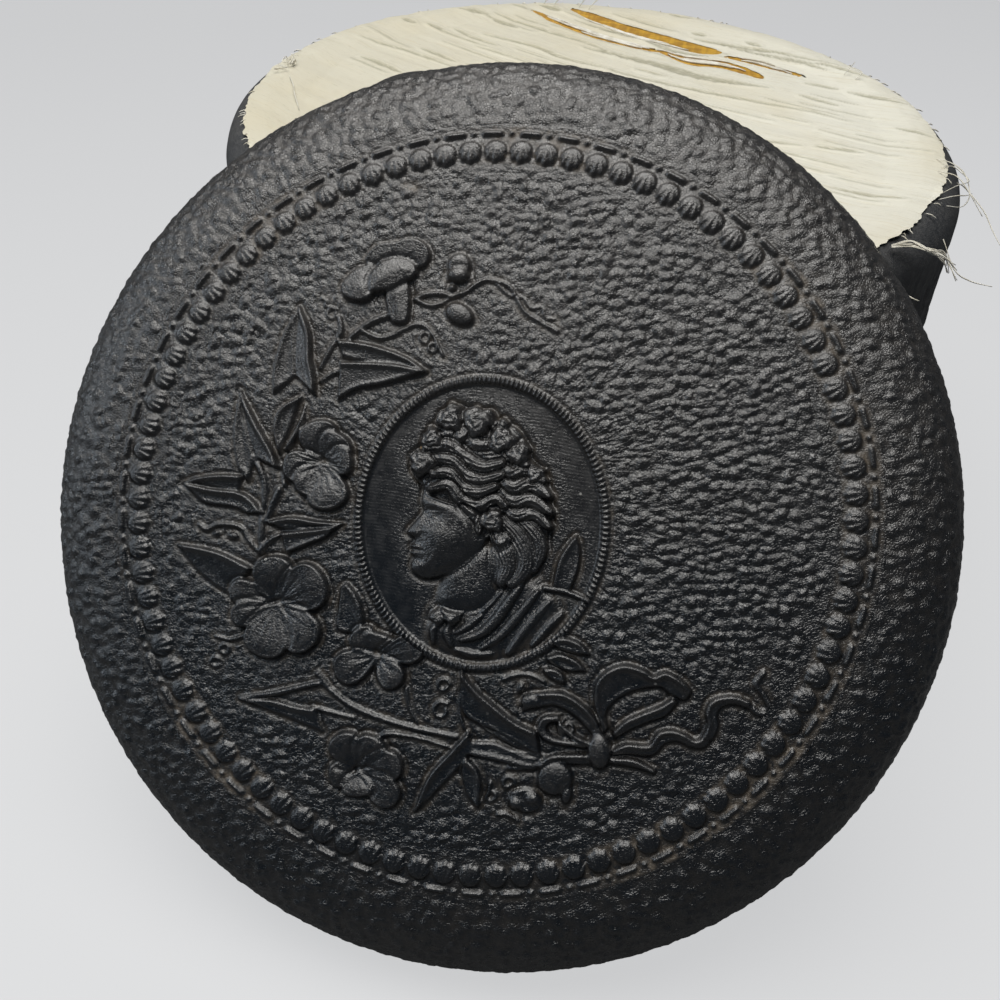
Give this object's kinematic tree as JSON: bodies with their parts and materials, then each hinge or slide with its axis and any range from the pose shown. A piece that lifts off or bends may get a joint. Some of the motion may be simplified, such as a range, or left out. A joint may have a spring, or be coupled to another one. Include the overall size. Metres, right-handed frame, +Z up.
{
  "type": "collar box",
  "caption": "Round leather-covered collar box with a deep drum, an inner neck and a shallow domed lid embossed with an oval portrait and a flower spray; the lid lifts off.",
  "frame": {"origin": "centre of the ring that the upside-down drum stands on, on the drum's own axis", "axes": "+Z up along the drum's axis, from the mouth on the table to the silk-covered bottom; the lid leans on the -Y side; +X to the right when looking along +Y"},
  "size_m": [0.176, 0.2557, 0.1393],
  "materials": {
    "leather_lid": "satin, pebbled",
    "leather_rim": "smooth, worn",
    "leather_base": "satin, wrinkled",
    "hoop_board": "matte",
    "neck_board": "matte",
    "pressed_board": "matte",
    "lining_paper": "matte",
    "amber_paper": "satin",
    "silk": "soft sheen, frayed"
  },
  "bodies": {
    "drum": {"base_leather": "leather_base", "base_hoop": "hoop_board", "base_floor_board": "pressed_board", "base_bottom_paper": "amber_paper", "base_bottom_silk": "silk", "neck_hoop": "neck_board", "neck_lining": "lining_paper", "base_floor_lining": "lining_paper"},
    "lid": {"lid_leather": "leather_lid", "lid_rim_leather": "leather_rim", "lid_crown_board": "pressed_board", "lid_hoop": "hoop_board", "lid_lining_band": "lining_paper", "lid_lining_disc": "lining_paper"}
  },
  "joints": [
    {"name": "lid_lift", "type": "slide", "parent": "drum", "child": "lid", "axis": [0, -0.7451, 0.667], "range_m": [0, 0.06]}
  ]
}
